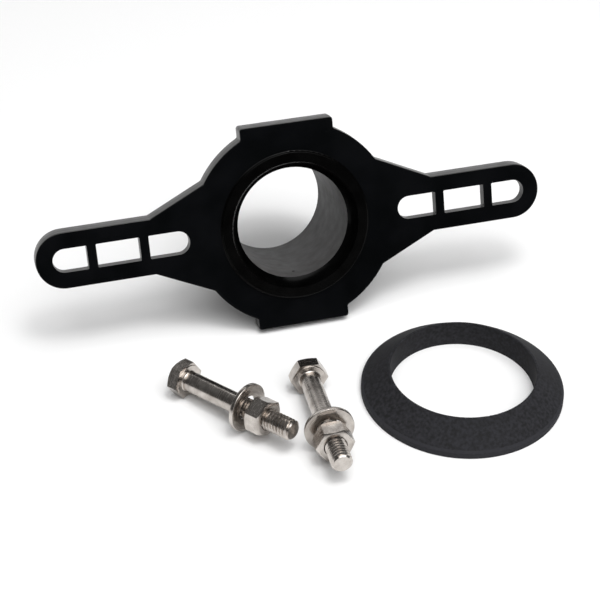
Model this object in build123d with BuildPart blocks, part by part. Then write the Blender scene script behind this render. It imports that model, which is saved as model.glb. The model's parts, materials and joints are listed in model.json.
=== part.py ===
"""Wall-outlet flange kit: a slotted ABS flange with its rubber gasket, two bolts, washers and nuts.

The kit lies on a floor at Z = 0.  The flange stands on the lower edge of its plate and leans back
onto the rim of its spigot; the gasket and the two bolts lie in front of it (towards -Y).
The origin is on the floor, at the middle of the kit.
"""

import os
from math import atan2, cos, degrees, radians, sin, tan

from build123d import *

# ---- flange moulding ------------------------------------------------------------------------
plate_thick = 6.9
disc_radius = 40.6
tab_proud = 0.2  # how far the flat upper and lower edges stand out from the disc
tab_width = 36.9
overall_length = 203.2
arm_width = 22.1
gusset_angle = 32.0  # where a gusset leaves the disc, above the arm's centre line
gusset_reach = 56.6  # centre to where the gussets meet an arm
corner_radius = 1.2
inner_corner_radius = 1.0
mould_draft = 2.0  # each half of the mould draws its own way from the mid-plane
front_edge_radius = 0.4

bore_radius = 22.3
spigot_wall = 3.7
spigot_reach = 49.2  # front face of the plate to the spigot's rim
rim_chamfer = 0.8
root_radius = 1.5
seat_flare = 3.1  # from the bore out to the seat's upper edge
seat_depth = 3.9
seat_sag = 0.35  # how far the seat's wall is dished
land_width = 3.9  # raised land for the gasket, round the seat
land_height = 1.0
land_edge_radius = 0.3
land_foot_radius = 0.5
gate_radius = 0.6
gate_depth = 0.3
gate_back = 11.7  # front face to the gate mark in the bore

slot_width = 9.1  # where it meets the bolt channel, and is narrowest
slot_margin = 12.9  # from the gasket land to the slot
outer_window = 13.2
middle_window = 16.5  # the inner window takes the rest of the slot
web_width = 3.8
web_corner_radius = 0.3
arm_skin = 3.6  # front face to the bolt channel behind each slot
channel_play = 0.3  # each side of a bolt's head, which the channel keeps from turning

# ---- gasket ---------------------------------------------------------------------------------
gasket_radius = 38.4
gasket_bore_radius = 27.5
gasket_height = 10.5
gasket_rim = 2.4
gasket_crest = 0.8  # width of the crest beside the bore
gasket_crest_radius = 0.3

# ---- fasteners, 5/16 in - 18 ----------------------------------------------------------------
thread_pitch = 25.4 / 18
thread_radius = 3.97
thread_depth = 0.86
thread_crest_flat = thread_pitch / 8
thread_length = 24.0
bolt_length = 50.8
shank_relief = 0.05  # the plain shank is this much smaller in radius than the thread
head_across = 12.7
head_height = 5.3
head_face_step = 0.25  # from the flats in to the round face under the head
head_face_height = 0.4
head_fillet = 0.5
nut_across = 12.7
nut_height = 6.75
nut_play = 0.08  # radial, between the nut's bore and the thread's crests
nut_mouth_chamfer = 0.5
hex_chamfer_angle = 30.0
hex_face_share = 0.95  # circle left flat on a hexagon's end, as a share of its width
washer_radius = 9.3
washer_play = 0.78  # radial, from the thread to the washer's bore
washer_thick = 1.6
washer_edge_radius = 0.25
washer_seat_gap = 0.08  # radial, where the bolt lies in the washer

# ---- how the kit lies, from the point of the floor below the flange's centre -----------------
gasket_right = 47.6
gasket_ahead = 66.1
bolts = {
    # head's x and distance ahead, heading (right of straight ahead), washer and nut from the
    # head, how far the nut is turned from flat side up
    "left": (-52.8, 41.4, 35.7, 28.0, 32.7, 27.0),
    "right": (-8.8, 52.9, -2.5, 30.2, 34.2, 4.0),
}

tab_reach = disc_radius + tab_proud
seat_radius = bore_radius + seat_flare
land_radius = seat_radius + land_width
spigot_radius = bore_radius + spigot_wall
arm_radius = arm_width / 2
arm_centre = overall_length / 2 - arm_radius
slot_radius = slot_width / 2
slot_inner_centre = land_radius + slot_margin + slot_radius
outer_web = arm_centre + slot_radius - outer_window - web_width / 2
web_centres = (outer_web - web_width - middle_window, outer_web)
half_thick = plate_thick / 2
channel_width = head_across + 2 * channel_play
shank_radius = thread_radius - shank_relief
head_face_radius = head_across / 2 - head_face_step
washer_bore_radius = thread_radius + washer_play
washer_lift = washer_play - washer_seat_gap  # the washer's centre above the bolt's axis

# The lower back edge of the plate and the spigot's rim touch the floor together.
lean = degrees(atan2(tab_reach - spigot_radius, spigot_reach - rim_chamfer - plate_thick))
lean_sin = sin(radians(lean))
lean_cos = cos(radians(lean))
face_height = tab_reach * lean_cos + plate_thick * lean_sin
rim_back = spigot_reach * lean_cos + (spigot_radius - rim_chamfer) * lean_sin
side_back = (spigot_reach - rim_chamfer) * lean_cos + spigot_radius * lean_sin
kit_back = max(rim_back, side_back)
kit_front = gasket_ahead + gasket_radius
face_y = (kit_front - kit_back) / 2  # centres the kit on the origin

face = Plane(origin=(0, face_y, face_height), x_dir=(1, 0, 0), z_dir=(0, -lean_cos, lean_sin))
back = face.offset(-plate_thick)
flange_axis = Axis(face.origin, face.z_dir)
half_section = Plane(origin=face.origin, x_dir=face.x_dir, z_dir=-face.y_dir)

os.makedirs("parts", exist_ok=True)


def draw_outline():
    """The plate's outline: disc, two tabs, two arms and their gussets."""
    Circle(disc_radius)
    Rectangle(tab_width, 2 * tab_reach)
    SlotCenterToCenter(2 * arm_centre, arm_width)
    root_x = disc_radius * cos(radians(gusset_angle))
    root_y = disc_radius * sin(radians(gusset_angle))
    Polygon(
        (root_x, root_y),
        (gusset_reach, arm_radius),
        (gusset_reach, -arm_radius),
        (root_x, -root_y),
        (-root_x, -root_y),
        (-gusset_reach, -arm_radius),
        (-gusset_reach, arm_radius),
        (-root_x, root_y),
        align=None,
    )


def draw_slots(width):
    """A slot of that width along each arm."""
    slot_length = arm_centre - slot_inner_centre
    middle = slot_inner_centre + slot_length / 2
    with Locations((middle, 0), (-middle, 0)):
        SlotCenterToCenter(slot_length, width)


def draw_windows():
    """Two slots, each split into three windows by two webs."""
    draw_slots(slot_width)
    with Locations([(side * x, 0) for side in (-1, 1) for x in web_centres]):
        Rectangle(web_width, 2 * slot_width, mode=Mode.SUBTRACT)


def beside_web(vertex):
    """True for a window's corner at a web, false for the ends of a slot's arcs."""
    gaps = [abs(abs(vertex.X) - x) for x in web_centres]
    return min(gaps) < web_width


def circles_from_back(builder, radius):
    """The circular edges of that radius, the one nearest the flange's front last."""
    circles = builder.edges().filter_by(lambda e: e.geom_type == GeomType.CIRCLE)
    return circles.filter_by(lambda e: abs(e.radius - radius) < 0.01).sort_by(flange_axis)


with BuildPart() as flange_body:
    # Each half of the plate is drawn from its own face and grows towards the parting line.
    for outer_face, step in ((face, -half_thick), (back, half_thick)):
        with BuildSketch(outer_face) as outline:
            draw_outline()
            tab_corners = outline.vertices().filter_by(lambda v: abs(v.Y) > tab_reach - 0.01)
            fillet(tab_corners, radius=corner_radius)
            hollows = outline.vertices().filter_by(
                lambda v: abs(v.Y) < tab_reach - 1.01 * corner_radius and abs(v.X) < gusset_reach + 0.01
            )
            fillet(hollows, radius=inner_corner_radius)
        extrude(amount=step, taper=-mould_draft)
    front_edges = flange_body.faces().filter_by(flange_axis).sort_by(flange_axis)[-1].edges()
    fillet(front_edges, radius=front_edge_radius)

    # Spigot and gasket land, turned about the flange's axis.
    with BuildSketch(half_section):
        with BuildLine():
            Polyline(
                (bore_radius - 1, land_height),
                (land_radius, land_height),
                (land_radius, -half_thick),
                (spigot_radius, -half_thick),
                (spigot_radius, rim_chamfer - spigot_reach),
                (spigot_radius - rim_chamfer, -spigot_reach),
                (bore_radius - 1, -spigot_reach),
                close=True,
            )
        make_face()
    revolve(axis=flange_axis)
    fillet(circles_from_back(flange_body, land_radius)[-2], radius=land_foot_radius)
    fillet(circles_from_back(flange_body, land_radius)[-1], radius=land_edge_radius)
    fillet(circles_from_back(flange_body, spigot_radius)[-1], radius=root_radius)

    # Seat and bore.
    with BuildSketch(half_section):
        with BuildLine():
            Polyline(
                (bore_radius, -seat_depth),
                (bore_radius, -spigot_reach - 1),
                (0, -spigot_reach - 1),
                (0, land_height + 1),
                (seat_radius, land_height + 1),
                (seat_radius, land_height),
            )
            SagittaArc((seat_radius, land_height), (bore_radius, -seat_depth), seat_sag)
        make_face()
    revolve(axis=flange_axis, mode=Mode.SUBTRACT)

    # Slot windows, which open towards the front, and the channel for the bolts' heads behind them.
    with BuildSketch(face.offset(-arm_skin)) as windows:
        draw_windows()
        fillet(windows.vertices().filter_by(beside_web), radius=web_corner_radius)
    extrude(amount=arm_skin, taper=-mould_draft, mode=Mode.SUBTRACT)
    with BuildSketch(face.offset(-arm_skin)):
        draw_slots(channel_width)
    extrude(amount=arm_skin - plate_thick, taper=-mould_draft, mode=Mode.SUBTRACT)

    # Gate mark in the lower side of the bore.
    gate_centre = face.origin - face.z_dir * gate_back - face.y_dir * bore_radius
    with BuildSketch(Plane(origin=gate_centre, x_dir=face.x_dir, z_dir=-face.y_dir)):
        Circle(gate_radius)
    extrude(amount=gate_depth, both=True, mode=Mode.SUBTRACT)

flange_body.part.label = "flange_body"
export_step(flange_body.part, "parts/flange_body.step")

gasket_place = Plane(origin=(gasket_right, face_y - gasket_ahead, 0))
gasket_section = Plane(origin=gasket_place.origin, x_dir=(1, 0, 0), z_dir=(0, -1, 0))

with BuildPart() as gasket:
    with BuildSketch(gasket_section):
        with BuildLine():
            Polyline(
                (gasket_bore_radius, 0),
                (gasket_radius, 0),
                (gasket_radius, gasket_rim),
                (gasket_bore_radius + gasket_crest, gasket_height),
                (gasket_bore_radius, gasket_height),
                close=True,
            )
        make_face()
    revolve(axis=Axis(gasket_place.origin, (0, 0, 1)))
    fillet(gasket.faces().sort_by(Axis.Z)[-1].edges(), radius=gasket_crest_radius)

gasket.part.label = "gasket"
export_step(gasket.part, "parts/gasket.step")


def hex_section(place):
    """The plane through a fastener's axis on which its turned shapes are drawn, axis along +y."""
    return Plane(origin=place.origin, x_dir=place.x_dir, z_dir=-place.y_dir)


def draw_hex_envelope(across, height, both_ends):
    """Half outline of the turned blank whose coned ends chamfer a hexagon's corners."""
    face_radius = hex_face_share * across / 2
    outer = 1.02 * across / 3**0.5  # just outside the corners
    drop = (outer - face_radius) * tan(radians(hex_chamfer_angle))
    if both_ends:
        lower_end = [(0, 0), (face_radius, 0), (outer, drop)]
    else:
        lower_end = [(0, 0), (outer, 0)]
    Polyline(*lower_end, (outer, height - drop), (face_radius, height), (0, height), close=True)


def draw_thread_grooves():
    """The bolt's thread as closed grooves, one pitch apart, from the tip back."""
    flank = thread_depth * tan(radians(30))
    mouth = thread_pitch - thread_crest_flat
    for turn in range(int(thread_length / thread_pitch)):
        middle = bolt_length - (turn + 0.5) * thread_pitch
        Polygon(
            (thread_radius, middle - mouth / 2),
            (thread_radius + 1, middle - mouth / 2),
            (thread_radius + 1, middle + mouth / 2),
            (thread_radius, middle + mouth / 2),
            (thread_radius - thread_depth, middle + mouth / 2 - flank),
            (thread_radius - thread_depth, middle - mouth / 2 + flank),
            align=None,
        )


for side, (head_x, ahead, heading, washer_at, nut_at, nut_turn) in bolts.items():
    # The head lies on one flat and the shank in the bore of its washer, which stands on its edge.
    rise = atan2(washer_radius - washer_lift - head_across / 2, washer_at + head_height)
    turn = radians(heading)
    shank = Plane(
        origin=(head_x, face_y - ahead, head_height * sin(rise) + head_across / 2 * cos(rise)),
        x_dir=(cos(turn), sin(turn), 0),
        z_dir=(sin(turn) * cos(rise), -cos(turn) * cos(rise), sin(rise)),
    )
    shank_axis = Axis(shank.origin, shank.z_dir)

    with BuildPart() as bolt:
        head = Plane(origin=shank.origin, x_dir=shank.x_dir, z_dir=-shank.z_dir)
        with BuildSketch(head.offset(head_face_height)):
            RegularPolygon(head_across / 2, 6, major_radius=False)
        extrude(amount=head_height - head_face_height)
        with BuildSketch(hex_section(head)):
            with BuildLine():
                draw_hex_envelope(head_across, head_height, both_ends=False)
            make_face()
        revolve(axis=shank_axis, mode=Mode.INTERSECT)
        with BuildSketch(hex_section(shank)):
            with BuildLine():
                Polyline(
                    (0, -head_height / 2),
                    (head_face_radius, -head_height / 2),
                    (head_face_radius, 0),
                    (shank_radius, 0),
                    (shank_radius, bolt_length - thread_length),
                    (thread_radius, bolt_length - thread_length),
                    (thread_radius, bolt_length - thread_depth),
                    (thread_radius - thread_depth, bolt_length),
                    (0, bolt_length),
                    close=True,
                )
            make_face()
        revolve(axis=shank_axis)
        neck = bolt.edges().filter_by(GeomType.CIRCLE).filter_by(lambda e: abs(e.radius - shank_radius) < 0.01)
        fillet(neck.sort_by(shank_axis)[0], radius=head_fillet)
        with BuildSketch(hex_section(shank)):
            draw_thread_grooves()
        revolve(axis=shank_axis, mode=Mode.SUBTRACT)

    bolt.part.label = f"bolt_{side}"
    export_step(bolt.part, f"parts/bolt_{side}.step")

    with BuildPart() as washer:
        seat = shank.offset(washer_at)
        ring = Plane(origin=seat.origin + seat.y_dir * washer_lift, x_dir=seat.x_dir, z_dir=seat.z_dir)
        with BuildSketch(ring):
            Circle(washer_radius)
            Circle(washer_bore_radius, mode=Mode.SUBTRACT)
        extrude(amount=washer_thick)
        rims = washer.edges().filter_by(lambda e: e.geom_type == GeomType.CIRCLE)
        fillet(rims.filter_by(lambda e: e.radius > washer_bore_radius + 1), radius=washer_edge_radius)

    washer.part.label = f"washer_{side}"
    export_step(washer.part, f"parts/washer_{side}.step")

    with BuildPart() as nut:
        nut_place = Plane(
            origin=shank.offset(nut_at).origin,
            x_dir=shank.x_dir * cos(radians(nut_turn)) + shank.y_dir * sin(radians(nut_turn)),
            z_dir=shank.z_dir,
        )
        with BuildSketch(nut_place):
            RegularPolygon(nut_across / 2, 6, major_radius=False)
        extrude(amount=nut_height)
        with BuildSketch(hex_section(nut_place)):
            with BuildLine():
                draw_hex_envelope(nut_across, nut_height, both_ends=True)
            make_face()
        revolve(axis=shank_axis, mode=Mode.INTERSECT)
        with BuildSketch(nut_place):
            Circle(thread_radius + nut_play)
        extrude(amount=nut_height, mode=Mode.SUBTRACT)
        mouths = nut.edges().filter_by(lambda e: e.geom_type == GeomType.CIRCLE)
        chamfer(mouths.filter_by(lambda e: e.radius < thread_radius + 1), length=nut_mouth_chamfer)

    nut.part.label = f"nut_{side}"
    export_step(nut.part, f"parts/nut_{side}.step")
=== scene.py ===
"""Looks of the outlet flange kit: black ABS flange, tapered rubber gasket, stainless bolts."""

import json
import math

import bmesh
import bpy
from mathutils import Matrix, Vector


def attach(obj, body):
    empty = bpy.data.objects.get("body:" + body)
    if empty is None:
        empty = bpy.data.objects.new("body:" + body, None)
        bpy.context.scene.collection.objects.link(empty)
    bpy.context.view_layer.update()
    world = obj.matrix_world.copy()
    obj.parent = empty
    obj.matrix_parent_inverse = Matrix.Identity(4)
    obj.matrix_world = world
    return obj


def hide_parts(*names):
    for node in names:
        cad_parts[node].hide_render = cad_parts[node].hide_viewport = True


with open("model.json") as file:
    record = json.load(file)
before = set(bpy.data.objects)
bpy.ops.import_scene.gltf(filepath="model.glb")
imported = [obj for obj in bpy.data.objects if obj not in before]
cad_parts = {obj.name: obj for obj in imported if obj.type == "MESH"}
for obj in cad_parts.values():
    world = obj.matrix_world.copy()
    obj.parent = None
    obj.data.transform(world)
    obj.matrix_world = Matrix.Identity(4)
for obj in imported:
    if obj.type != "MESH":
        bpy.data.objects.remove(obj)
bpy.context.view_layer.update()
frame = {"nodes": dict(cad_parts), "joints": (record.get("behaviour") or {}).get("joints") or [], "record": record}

MM = 0.001

# ---- sizes of the fasteners, millimetres ------------------------------------------------------
PITCH = 25.4 / 18
THREAD_RADIUS = 3.97
THREAD_DEPTH = 0.86
THREAD_LENGTH = 24.0
BOLT_LENGTH = 50.8
SHANK_RADIUS = 3.92
HEAD_ACROSS = 12.7
HEAD_HEIGHT = 5.3
HEAD_FACE_RADIUS = 6.1
HEAD_FACE_HEIGHT = 0.4
NECK_RADIUS = 0.5
NUT_ACROSS = 12.7
NUT_HEIGHT = 6.75
NUT_PLAY = 0.08
WASHER_RADIUS = 9.3
WASHER_BORE_RADIUS = 4.75
WASHER_THICK = 1.6
WASHER_LIFT = 0.70
WASHER_EDGE = 0.25
WASHER_BURR = 0.1  # chamfer at the washer's bore
HEAD_FACE_EDGE = 0.06  # broken edge of the round face under the head
TIP_STEP = 0.1  # how far the thread's root is cut back at the bolt's tip
RUNOUT = 0.15 * PITCH  # short, as the nut runs to within 0.26 mm of the thread's start
THREAD_JOIN = 0.05  # gap bridged between the shank and the thread
NUT_MOUTH = 0.45  # how much wider the nut's mouth is than the thread
NUT_THREAD_DEPTH = 0.8
HEX_FACE_SHARE = 0.95
HEX_SLOPE = math.tan(math.radians(30))
# Washer and nut from the head, and how far the nut is turned from flat side up.
FASTENERS = {"left": (28.0, 32.7, 27.0), "right": (30.2, 34.2, 4.0)}

# ---- finishes of the flange, by where a surface lies -------------------------------------------
BORE_RADIUS = 22.3
LAND_RADIUS = 29.3  # outside of the ring that the gasket seals on
SEAT_DEPTH = 3.9
LAND_FOOT = 0.6  # how far outside the land its foot's fillet reaches
BORE_MARGIN = 0.5
FACE_MARGIN = 0.05
SEAT_MARGIN = 0.02
SATIN, TEXTURED, POLISHED, CORED = range(4)

RING_STEPS = 96
TURN_STEPS = 48
THREAD_SHARP = 32  # degrees, past which an edge of a threaded piece is shaded sharp


# ---- mesh helpers -----------------------------------------------------------------------------
def finish_piece(bm, name, body, replaces, material, place=None, sharp=35):
    """Puts a modelled piece into the scene, at its place, riding on its CAD body."""
    if place is not None:
        bmesh.ops.transform(bm, matrix=place, verts=bm.verts)
    bmesh.ops.scale(bm, vec=(MM, MM, MM), verts=bm.verts)
    bmesh.ops.recalc_face_normals(bm, faces=bm.faces)
    mesh = bpy.data.meshes.new(name)
    bm.to_mesh(mesh)
    bm.free()
    mesh.shade_smooth()
    mesh.set_sharp_from_angle(angle=math.radians(sharp))
    piece = bpy.data.objects.new(name, mesh)
    bpy.context.scene.collection.objects.link(piece)
    mesh.materials.append(material)
    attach(piece, body)
    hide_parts(replaces)
    return piece


def start_ring(bm, radius, height, capped=True):
    """A circle of vertices to grow a turned or hexagonal shape from."""
    made = bmesh.ops.create_circle(bm, cap_ends=capped, segments=RING_STEPS, radius=radius)
    bmesh.ops.translate(bm, vec=(0, 0, height), verts=made["verts"])
    return [e for e in bm.edges if e.is_boundary or not e.link_faces]


def grow(bm, ring, shape):
    """Extrudes a ring of edges; shape(angle) gives the new ring's radius and height."""
    made = bmesh.ops.extrude_edge_only(bm, edges=ring)["geom"]
    for v in (g for g in made if isinstance(g, bmesh.types.BMVert)):
        angle = math.atan2(v.co.y, v.co.x)
        radius, height = shape(angle)
        v.co = (radius * math.cos(angle), radius * math.sin(angle), height)
    return [g for g in made if isinstance(g, bmesh.types.BMEdge)]


def circle(radius, height):
    """Shape of a plain round ring, for grow()."""
    return lambda angle: (radius, height)


def hexagon(across, height, slope=0.0, turn=0.0):
    """Shape of a hexagonal ring whose height falls off outside the chamfer circle."""
    face_radius = HEX_FACE_SHARE * across / 2

    def shape(angle):
        from_flat = (math.degrees(angle) - turn) % 60 - 30
        radius = across / 2 / math.cos(math.radians(from_flat))
        return radius, height - slope * (radius - face_radius)

    return shape


def threaded_tube(bm, crest, root, low, high):
    """A helical 60 degree thread between two heights, one pitch of outline spun up the axis."""
    crest_flat = PITCH / 8
    flank = (crest - root) * math.tan(math.radians(30))
    root_flat = PITCH - crest_flat - 2 * flank
    outline = [(root, 0), (root, root_flat / 2), (crest, root_flat / 2 + flank),
               (crest, root_flat / 2 + flank + crest_flat), (root, PITCH - root_flat / 2), (root, PITCH)]
    first = math.floor(low / PITCH) - 1
    turns = math.ceil(high / PITCH) + 1 - first
    verts = [bm.verts.new((r, 0, z + first * PITCH)) for r, z in outline]
    edges = [bm.edges.new(pair) for pair in zip(verts, verts[1:])]
    bmesh.ops.spin(bm, geom=verts + edges, cent=(0, 0, 0), axis=(0, 0, 1), dvec=(0, 0, PITCH / TURN_STEPS),
                   angle=math.radians(360 * turns), steps=TURN_STEPS * turns, use_merge=False)
    bmesh.ops.remove_doubles(bm, verts=bm.verts, dist=1e-4)
    for height, side in ((low, -1), (high, 1)):
        bmesh.ops.bisect_plane(bm, geom=bm.verts[:] + bm.edges[:] + bm.faces[:], dist=1e-6,
                               plane_co=(0, 0, height), plane_no=(0, 0, side), clear_outer=True)


def limit_radius(bm, smallest, largest):
    """Moves vertices in or out so that their radius is within the limits at their height."""
    for v in bm.verts:
        radius = math.hypot(v.co.x, v.co.y)
        wanted = min(max(radius, smallest(v.co.z)), largest(v.co.z))
        v.co.x *= wanted / radius
        v.co.y *= wanted / radius


def rim_at(bm, height):
    """Boundary edges that lie at one height."""
    return [e for e in bm.edges if e.is_boundary and all(abs(v.co.z - height) < 1e-3 for v in e.verts)]


# ---- materials --------------------------------------------------------------------------------
def colour(code):
    """Linear RGBA of an sRGB hex colour such as "808080"."""
    parts = [int(code[i:i + 2], 16) / 255 for i in (0, 2, 4)]
    return [c / 12.92 if c <= 0.04045 else ((c + 0.055) / 1.055) ** 2.4 for c in parts] + [1.0]


def add(tree, kind, inputs=None, **settings):
    """Adds a node, sets its properties, and sets or links its inputs."""
    node = tree.nodes.new(kind)
    for key, value in settings.items():
        setattr(node, key, value)
    for socket, value in (inputs or {}).items():
        if isinstance(value, bpy.types.NodeSocket):
            tree.links.new(value, node.inputs[socket])
        else:
            node.inputs[socket].default_value = value
    return node


def new_material(name):
    """An empty node material, its tree, its shader and the piece's own coordinates."""
    material = bpy.data.materials.new(name)
    material.use_nodes = True
    tree = material.node_tree
    place = add(tree, "ShaderNodeTexCoord").outputs["Object"]
    return material, tree, tree.nodes["Principled BSDF"], place


def finish_surface(tree, shader, grain, colours, roughness, relief, tint=None):
    """Drives colour and roughness from one pattern and bumps the surface with it; relief in mm."""
    spread = add(tree, "ShaderNodeMapRange", {0: tint or grain, 1: 0.35, 2: 0.65})
    shade = add(tree, "ShaderNodeMix", {0: spread.outputs[0], 6: colour(colours[0]), 7: colour(colours[1])},
                data_type="RGBA")
    rough = add(tree, "ShaderNodeMapRange", {0: grain, 1: 0.3, 2: 0.7, 3: roughness[0], 4: roughness[1]})
    bump = add(tree, "ShaderNodeBump", {"Strength": 1.0, "Distance": relief * MM, "Height": grain})
    tree.links.new(shade.outputs[2], shader.inputs["Base Color"])
    tree.links.new(rough.outputs[0], shader.inputs["Roughness"])
    tree.links.new(bump.outputs[0], shader.inputs["Normal"])


def textured_abs():
    """Black ABS off a spark-eroded mould face: fine, dull and slightly blue-grey, with no clear gloss."""
    material, tree, shader, place = new_material("moulded_black_abs_textured")
    # Grains 0.35 mm apart, coarser than the real 0.1 mm so that they show.
    grain = add(tree, "ShaderNodeTexNoise", {"Vector": place, "Scale": 1 / (0.35 * MM), "Detail": 3.0})
    cloud = add(tree, "ShaderNodeTexNoise", {"Vector": place, "Scale": 1 / (14 * MM), "Detail": 2.0})
    finish_surface(tree, shader, grain.outputs[0], ("040506", "090a0c"), (0.55, 0.75), 0.02,
                   cloud.outputs[0])
    shader.inputs["Specular IOR Level"].default_value = 0.02
    return material


def satin_abs():
    """Black ABS off a smooth drafted mould wall: satin, with faint flow marks 5 mm apart."""
    material, tree, shader, place = new_material("moulded_black_abs_satin")
    flow = add(tree, "ShaderNodeTexNoise", {"Vector": place, "Scale": 1 / (5 * MM), "Detail": 4.0})
    finish_surface(tree, shader, flow.outputs[0], ("0a0909", "12100f"), (0.3, 0.4), 0.01)
    return material


def cored_abs():
    """Black ABS drawn off the mould's core pin: dull and slightly brown, with no clear reflections."""
    material, tree, shader, place = new_material("moulded_black_abs_cored")
    flow = add(tree, "ShaderNodeTexNoise", {"Vector": place, "Scale": 1 / (4 * MM), "Detail": 4.0})
    finish_surface(tree, shader, flow.outputs[0], ("0c0909", "151010"), (0.45, 0.55), 0.01)
    shader.inputs["Specular IOR Level"].default_value = 0.3
    return material


def polished_abs():
    """Black ABS off a polished mould core: deep black, with a soft clear gloss on the sealing ring."""
    material, tree, shader, place = new_material("moulded_black_abs_polished")
    flow = add(tree, "ShaderNodeTexNoise", {"Vector": place, "Scale": 1 / (6 * MM), "Detail": 3.0})
    finish_surface(tree, shader, flow.outputs[0], ("020202", "040404"), (0.16, 0.22), 0.006)
    shader.inputs["Specular IOR Level"].default_value = 0.08
    return material


def gasket_rubber(centre):
    """Moulded rubber with a dusty bloom: matt and mottled, with a painted sheen that makes the outer edge paler.
    """
    material, tree, shader, place = new_material("moulded_gasket_rubber")
    arm = add(tree, "ShaderNodeVectorMath", {0: place, 1: centre}, operation="SUBTRACT")
    flat = add(tree, "ShaderNodeVectorMath", {0: arm.outputs[0], 1: (1, 1, 0)}, operation="MULTIPLY")
    radius = add(tree, "ShaderNodeVectorMath", {0: flat.outputs[0]}, operation="LENGTH")
    # Painted sheen: the base colour is lightened towards the outer edge, standing in for the light that edge
    # catches.
    painted_rim_sheen = add(tree, "ShaderNodeMapRange", {0: radius.outputs["Value"], 1: 37.4 * MM, 2: 38.3 * MM, 4: 0.8})
    # Bloom in patches about 1.2 mm across.
    bloom = add(tree, "ShaderNodeTexNoise", {"Vector": place, "Scale": 1 / (1.2 * MM), "Detail": 5.0})
    # The bloom's mottling plus the painted edge sheen, which together set the base colour's tint.
    bloom_and_rim_sheen = add(tree, "ShaderNodeMath", {0: bloom.outputs[0], 1: painted_rim_sheen.outputs[0]},
               operation="ADD", use_clamp=True)
    finish_surface(tree, shader, bloom.outputs[0], ("141416", "2b2b2f"), (0.75, 0.95), 0.03,
                   bloom_and_rim_sheen.outputs[0])
    shader.inputs["Specular IOR Level"].default_value = 0.25
    return material


def stainless(side):
    """Cold-formed stainless steel with fine turning marks round the bolt's axis."""
    material, tree, shader, place = new_material("turned_stainless_steel_" + side)
    along = Vector(nut_joint(side)["axis"]).normalized()
    centre = Vector(nut_joint(side)["pos_m"])
    arm = add(tree, "ShaderNodeVectorMath", {0: place, 1: centre}, operation="SUBTRACT")
    height = add(tree, "ShaderNodeVectorMath", {0: arm.outputs[0], 1: along}, operation="DOT_PRODUCT")
    swept = add(tree, "ShaderNodeVectorMath", {0: arm.outputs[0], 1: along}, operation="CROSS_PRODUCT")
    radius = add(tree, "ShaderNodeVectorMath", {0: swept.outputs[0]}, operation="LENGTH")
    turned = add(tree, "ShaderNodeCombineXYZ", {0: height.outputs["Value"], 1: radius.outputs["Value"]})
    # Marks 0.3 mm apart, coarser than the real 0.1 mm so that they show.
    marks = add(tree, "ShaderNodeTexNoise",
                {"Vector": turned.outputs[0], "Scale": 1 / (0.3 * MM), "Detail": 2.0})
    stain = add(tree, "ShaderNodeTexNoise", {"Vector": place, "Scale": 1 / (4 * MM), "Detail": 3.0})
    finish_surface(tree, shader, marks.outputs[0], ("a8a19b", "cbc5bf"), (0.17, 0.3), 0.006,
                   stain.outputs[0])
    shader.inputs["Metallic"].default_value = 1.0
    return material


# ---- fasteners --------------------------------------------------------------------------------
def nut_joint(side):
    """The joint on which a nut turns, whose axis is the bolt's."""
    return next(j for j in frame["joints"] if j["name"] == f"nut_{side}_turn")


def bolt_place(side):
    """Matrix from a bolt's own frame (head's underside at 0, shank along +Z) to the row frame, in mm."""
    joint = nut_joint(side)
    along = Vector(joint["axis"]).normalized()
    across = Vector((-along.y, along.x, 0)).normalized()
    up = along.cross(across)
    origin = Vector(joint["pos_m"]) / MM - along * FASTENERS[side][1]
    turned = Matrix((across, up, along)).transposed().to_4x4()
    return Matrix.Translation(origin) @ turned


def make_bolt(side, material):
    bm = bmesh.new()
    ring = start_ring(bm, HEX_FACE_SHARE * HEAD_ACROSS / 2, -HEAD_HEIGHT)
    ring = grow(bm, ring, hexagon(HEAD_ACROSS, -HEAD_HEIGHT, slope=-HEX_SLOPE))
    ring = grow(bm, ring, hexagon(HEAD_ACROSS, -HEAD_FACE_HEIGHT))
    for radius, height in (
        (HEAD_FACE_RADIUS, -HEAD_FACE_HEIGHT),
        (HEAD_FACE_RADIUS, -HEAD_FACE_EDGE),
        (HEAD_FACE_RADIUS - HEAD_FACE_EDGE, 0),
    ):
        ring = grow(bm, ring, circle(radius, height))
    for step in range(7):
        angle = math.radians(15 * step)
        radius = SHANK_RADIUS + NECK_RADIUS * (1 - math.sin(angle))
        ring = grow(bm, ring, circle(radius, NECK_RADIUS * (1 - math.cos(angle))))
    start = BOLT_LENGTH - THREAD_LENGTH
    ring = grow(bm, ring, circle(SHANK_RADIUS, start - THREAD_JOIN))

    thread = bmesh.new()
    root = THREAD_RADIUS - THREAD_DEPTH
    threaded_tube(thread, THREAD_RADIUS, root, start, BOLT_LENGTH)
    limit_radius(
        thread,
        lambda z: root + THREAD_DEPTH * max(0.0, 1 - (z - start) / RUNOUT),
        lambda z: min(THREAD_RADIUS, root + TIP_STEP + BOLT_LENGTH - z),
    )
    bmesh.ops.contextual_create(thread, geom=rim_at(thread, BOLT_LENGTH))
    part = bpy.data.meshes.new("thread")
    thread.to_mesh(part)
    thread.free()
    bm.from_mesh(part)
    bpy.data.meshes.remove(part)
    bmesh.ops.bridge_loops(bm, edges=rim_at(bm, start - THREAD_JOIN) + rim_at(bm, start))
    return finish_piece(bm, f"hex_bolt_{side}", f"bolt_{side}", f"bolt_{side}",
                        material, place=bolt_place(side), sharp=THREAD_SHARP)


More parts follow.
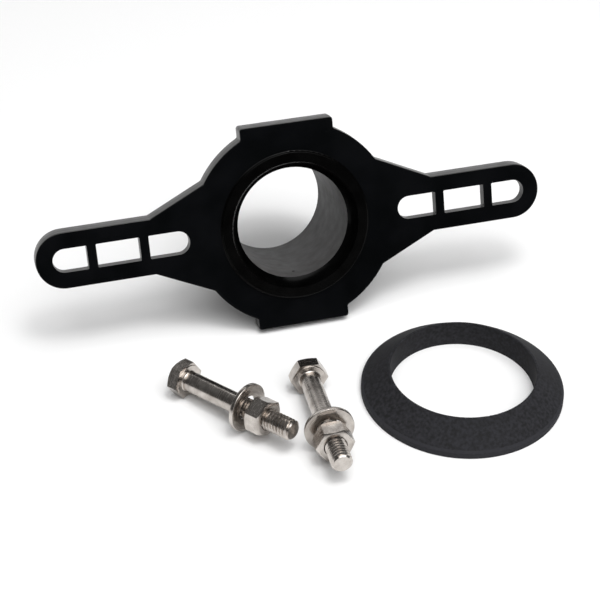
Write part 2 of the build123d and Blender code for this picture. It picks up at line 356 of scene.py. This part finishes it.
def make_nut(side, material):
    nut_at, turn = FASTENERS[side][1:]
    top = nut_at + NUT_HEIGHT
    mouth = THREAD_RADIUS + NUT_MOUTH
    face_radius = HEX_FACE_SHARE * NUT_ACROSS / 2
    bm = bmesh.new()
    ring = start_ring(bm, mouth, nut_at, capped=False)
    ring = grow(bm, ring, circle(face_radius, nut_at))
    ring = grow(bm, ring, hexagon(NUT_ACROSS, nut_at, slope=-HEX_SLOPE, turn=turn))
    ring = grow(bm, ring, hexagon(NUT_ACROSS, top, slope=HEX_SLOPE, turn=turn))
    ring = grow(bm, ring, circle(face_radius, top))
    ring = grow(bm, ring, circle(mouth, top))

    thread = bmesh.new()
    crest = THREAD_RADIUS + NUT_PLAY
    root = crest - NUT_THREAD_DEPTH
    threaded_tube(thread, crest, root, nut_at, top)
    limit_radius(
        thread,
        lambda z: max(root, mouth - min(z - nut_at, top - z)),
        lambda z: mouth,
    )
    part = bpy.data.meshes.new("thread")
    thread.to_mesh(part)
    thread.free()
    bm.from_mesh(part)
    bpy.data.meshes.remove(part)
    for height in (nut_at, top):
        bmesh.ops.bridge_loops(bm, edges=rim_at(bm, height))
    return finish_piece(bm, f"hex_nut_{side}", f"nut_{side}", f"nut_{side}",
                        material, place=bolt_place(side), sharp=THREAD_SHARP)


def make_washer(side, material):
    washer_at = FASTENERS[side][0]
    bm = bmesh.new()
    low, high = washer_at, washer_at + WASHER_THICK
    ring = start_ring(bm, WASHER_BORE_RADIUS, low + WASHER_BURR, capped=False)
    first = ring
    ring = grow(bm, ring, circle(WASHER_BORE_RADIUS + WASHER_BURR, low))
    for step in range(5):
        angle = math.radians(22.5 * step)
        inwards, upwards = WASHER_EDGE * (1 - math.sin(angle)), WASHER_EDGE * (1 - math.cos(angle))
        ring = grow(bm, ring, circle(WASHER_RADIUS - inwards, low + upwards))
    for step in range(5):
        angle = math.radians(22.5 * step)
        inwards, downwards = WASHER_EDGE * (1 - math.cos(angle)), WASHER_EDGE * (1 - math.sin(angle))
        ring = grow(bm, ring, circle(WASHER_RADIUS - inwards, high - downwards))
    ring = grow(bm, ring, circle(WASHER_BORE_RADIUS + WASHER_BURR, high))
    ring = grow(bm, ring, circle(WASHER_BORE_RADIUS, high - WASHER_BURR))
    bmesh.ops.bridge_loops(bm, edges=ring + first)
    lift = Matrix.Translation((0, WASHER_LIFT, 0))
    return finish_piece(bm, f"flat_washer_{side}", f"washer_{side}", f"washer_{side}",
                        material, place=bolt_place(side) @ lift)


for side in FASTENERS:
    steel = stainless(side)
    make_bolt(side, steel)
    make_nut(side, steel)
    make_washer(side, steel)

# ---- carried-over nodes -----------------------------------------------------------------------
def mount(name):
    """A mount's place and axis, in the row frame."""
    found = next(m for m in frame["record"]["mounts"] if m["name"] == name)
    return Vector(found["pos_m"]), Vector(found["axis"]).normalized()


plate_centre, plate_forward = mount("slots")
gasket_centre = mount("gasket_bore")[0]

flange_mesh = frame["nodes"]["flange_body"].data
flange_mesh.materials.clear()
for finish in (satin_abs(), textured_abs(), polished_abs(), cored_abs()):
    flange_mesh.materials.append(finish)
for polygon in flange_mesh.polygons:
    # The face of the plate is textured, and the land standing proud of it and its seat are polished.
    reach = polygon.center - plate_centre
    depth = reach.dot(plate_forward)
    radius = (reach - depth * plate_forward).length
    if radius < (LAND_RADIUS + LAND_FOOT) * MM and depth > -(SEAT_DEPTH + SEAT_MARGIN) * MM:
        polygon.material_index = POLISHED
    elif radius < (BORE_RADIUS + BORE_MARGIN) * MM:
        polygon.material_index = CORED
    elif abs(depth) < FACE_MARGIN * MM:
        polygon.material_index = TEXTURED
    else:
        polygon.material_index = SATIN

gasket_mesh = frame["nodes"]["gasket"].data
gasket_mesh.materials.clear()
gasket_mesh.materials.append(gasket_rubber(gasket_centre))

# ---- stage, lights and camera -----------------------------------------------------------------
CAMERA_YAW = 15.3  # degrees, how far the flange is turned to the camera's right
CAMERA_ELEVATION = 37.44
CAMERA_DISTANCE = 641.6
FOCAL_RATIO = 1566.95 / 600  # focal length over the picture's width
AIM_FROM_FLANGE = (3.0, 4.3)  # the point on the floor that the camera looks at


def make_stage():
    bm = bmesh.new()
    bmesh.ops.create_grid(bm, x_segments=2, y_segments=2, size=6.0)
    mesh = bpy.data.meshes.new("floor")
    bm.to_mesh(mesh)
    bm.free()
    floor = bpy.data.objects.new("floor", mesh)
    bpy.context.scene.collection.objects.link(floor)
    material, _, shader, _ = new_material("white_paper")
    shader.inputs["Base Color"].default_value = colour("f4f4f4")
    shader.inputs["Roughness"].default_value = 0.9
    mesh.materials.append(material)


def add_softbox(name, place, target, size, power):
    light = bpy.data.lights.new(name, "AREA")
    light.shape = "RECTANGLE"
    light.size, light.size_y = size
    light.energy = power
    box = bpy.data.objects.new(name, light)
    box.location = place
    box.rotation_euler = (Vector(target) - Vector(place)).to_track_quat("-Z", "Y").to_euler()
    bpy.context.scene.collection.objects.link(box)


def make_lights():
    world = bpy.data.worlds.new("studio")
    world.use_nodes = True
    back = world.node_tree.nodes["Background"]
    back.inputs["Color"].default_value = colour("ffffff")
    back.inputs["Strength"].default_value = 0.08
    bpy.context.scene.world = world
    add_softbox("overhead", (0.15, -0.45, 1.2), (0, 0, 0), (1.6, 1.6), 22.5)
    add_softbox("key", (0.1, -0.3, 1.15), (0, 0, 0), (0.3, 0.3), 3.2)
    # The white sweep behind, which the drafted edges and the steel mirror.
    add_softbox("sweep", (0, 1.7, 0.75), (0, 0, 0.1), (3.2, 1.5), 15)


def make_camera():
    yaw, elevation = math.radians(CAMERA_YAW), math.radians(CAMERA_ELEVATION)
    aim = Vector((AIM_FROM_FLANGE[0] * MM, plate_centre.y + AIM_FROM_FLANGE[1] * MM, 0))
    level = math.cos(elevation)
    back = Vector((-math.sin(yaw) * level, -math.cos(yaw) * level, math.sin(elevation)))
    data = bpy.data.cameras.new("camera")
    data.sensor_width = 36
    data.lens = 36 * FOCAL_RATIO
    camera = bpy.data.objects.new("camera", data)
    camera.location = aim + back * CAMERA_DISTANCE * MM
    camera.rotation_euler = (-back).to_track_quat("-Z", "Y").to_euler()
    bpy.context.scene.collection.objects.link(camera)
    bpy.context.scene.camera = camera


make_stage()
make_lights()
make_camera()
bpy.context.scene.view_settings.view_transform = "Standard"
